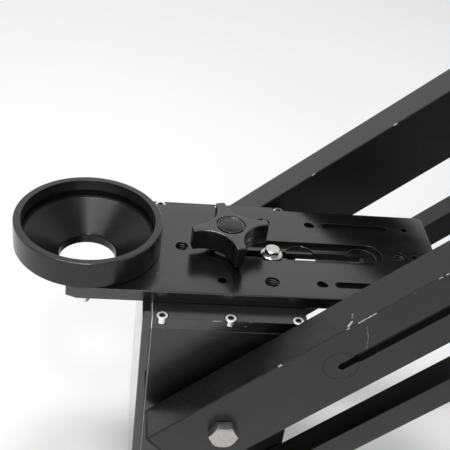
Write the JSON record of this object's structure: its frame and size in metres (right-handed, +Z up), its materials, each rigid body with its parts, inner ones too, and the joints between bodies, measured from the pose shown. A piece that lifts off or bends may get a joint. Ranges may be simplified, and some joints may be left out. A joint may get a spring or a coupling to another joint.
{
  "type": "camera jib crane",
  "caption": "Small camera jib crane: paired beams and paired control rods form a parallelogram that keeps a bowl head level, on a panning fulcrum with a counterweight bar.",
  "frame": {"origin": "centre of the underside of the mounting flange, on the pan axis", "axes": "+X from the camera head towards the counterweight bar, +Y towards the crane's right side, +Z up along the pan axis; the camera head lies on the -X side"},
  "size_m": [1.3418, 0.4, 1.2067],
  "materials": {
    "black_anodised_plates": "black anodised, satin, fine machining grain",
    "black_anodised_beams": "black anodised, satin, with rubbed and nicked edges",
    "glossy_black_plastic": "glossy moulded thermoset",
    "matt_black_plastic": "fine moulded texture",
    "stainless_steel": "bright turned stainless steel",
    "bearing_bronze": "turned bearing bronze"
  },
  "bodies": {
    "mount": {"mount_flange": "black_anodised_plates", "pan_housing": "black_anodised_plates", "pan_bearing": "stainless_steel"},
    "yoke": {"pan_spindle": "stainless_steel", "pan_platform": "black_anodised_plates", "yoke_plate_left": "black_anodised_plates", "yoke_plate_right": "black_anodised_plates", "yoke_brace": "black_anodised_plates", "tilt_axle": "stainless_steel", "tilt_spacer_left": "black_anodised_plates", "tilt_spacer_right": "black_anodised_plates", "yoke_rod_axle": "stainless_steel", "yoke_rod_nut": "stainless_steel"},
    "boom": {"beam_left": "black_anodised_beams", "beam_right": "black_anodised_beams", "beam_cap_front_left": "matt_black_plastic", "beam_cap_front_right": "matt_black_plastic", "beam_cap_rear_left": "matt_black_plastic", "beam_cap_rear_right": "matt_black_plastic", "head_bush_left": "bearing_bronze", "head_bush_right": "bearing_bronze", "tilt_bush_left": "bearing_bronze", "tilt_bush_right": "bearing_bronze", "cross_bar_front": "black_anodised_beams", "cross_bar_rear": "black_anodised_beams", "counterweight_bar": "stainless_steel"},
    "collar_left": {"weight_collar_left": "stainless_steel"},
    "collar_right": {"weight_collar_right": "stainless_steel"},
    "rod_left": {"control_rod_left": "black_anodised_beams"},
    "rod_right": {"control_rod_right": "black_anodised_beams"},
    "head": {"bracket_top_plate": "black_anodised_plates", "bracket_front_plate": "black_anodised_plates", "bracket_side_plate_left": "black_anodised_plates", "bracket_side_plate_right": "black_anodised_plates", "bracket_bottom_plate": "black_anodised_plates", "top_screw_front_left": "stainless_steel", "top_screw_middle_left": "stainless_steel", "top_screw_rear_left": "stainless_steel", "top_screw_front_right": "stainless_steel", "top_screw_middle_right": "stainless_steel", "top_screw_rear_right": "stainless_steel", "head_beam_axle": "stainless_steel", "head_beam_nut": "stainless_steel", "head_rod_axle": "stainless_steel", "head_rod_nut": "stainless_steel", "head_spacer_left": "black_anodised_plates", "head_spacer_right": "black_anodised_plates", "flange_bolt": "stainless_steel"},
    "clamp_knob": {"clamp_knob_grip": "glossy_black_plastic", "clamp_knob_stud": "stainless_steel", "clamp_knob_cap": "glossy_black_plastic"},
    "camera_slide": {"slide_plate": "black_anodised_plates", "bowl": "black_anodised_plates", "bowl_screw_side_left": "stainless_steel", "bowl_screw_side_right": "stainless_steel", "bowl_screw_rear_left": "stainless_steel", "bowl_screw_rear_right": "stainless_steel"},
    "tilt_knob": {"tilt_brake_knob": "matt_black_plastic"},
    "pan_knob": {"pan_brake_knob": "matt_black_plastic"}
  },
  "joints": [
    {"name": "pan", "type": "hinge", "parent": "mount", "child": "yoke", "pos_m": [0, 0, 0.05], "axis": [0, 0, 1], "continuous": true},
    {"name": "boom_tilt", "type": "hinge", "parent": "yoke", "child": "boom", "pos_m": [0, 0, 0.223], "axis": [0, 1, 0], "range_deg": [-8, 92]},
    {"name": "rod_left_pivot", "type": "hinge", "parent": "yoke", "child": "rod_left", "pos_m": [0, -0.0845, 0.108], "axis": [0, 1, 0], "range_deg": [-8, 92]},
    {"name": "rod_right_pivot", "type": "hinge", "parent": "yoke", "child": "rod_right", "pos_m": [0, 0.0845, 0.108], "axis": [0, 1, 0], "range_deg": [-8, 92]},
    {"name": "head_level", "type": "hinge", "parent": "boom", "child": "head", "pos_m": [-0.81746, 0, -0.51304], "axis": [0, 1, 0], "range_deg": [-92, 8]},
    {"name": "camera_slide_travel", "type": "slide", "parent": "head", "child": "camera_slide", "axis": [1, 0, 0], "range_m": [-0.065, 0.004]},
    {"name": "clamp_knob_turn", "type": "hinge", "parent": "head", "child": "clamp_knob", "pos_m": [-0.81646, 0, -0.42804], "axis": [0, 0, 1], "range_deg": [0, 360]},
    {"name": "tilt_knob_turn", "type": "hinge", "parent": "yoke", "child": "tilt_knob", "pos_m": [0, -0.1206, 0.223], "axis": [0, -1, 0], "range_deg": [0, 360]},
    {"name": "pan_knob_turn", "type": "hinge", "parent": "mount", "child": "pan_knob", "pos_m": [0.058, 0, 0.029], "axis": [1, 0, 0], "range_deg": [0, 360]},
    {"name": "collar_left_travel", "type": "slide", "parent": "boom", "child": "collar_left", "axis": [0, -1, 0], "range_m": [-0.011, 0.055]},
    {"name": "collar_right_travel", "type": "slide", "parent": "boom", "child": "collar_right", "axis": [0, 1, 0], "range_m": [-0.011, 0.055]}
  ],
  "couplings": [
    {"joint": "rod_left_pivot", "follows": "boom_tilt", "ratio": 1},
    {"joint": "rod_right_pivot", "follows": "boom_tilt", "ratio": 1},
    {"joint": "head_level", "follows": "boom_tilt", "ratio": -1}
  ]
}
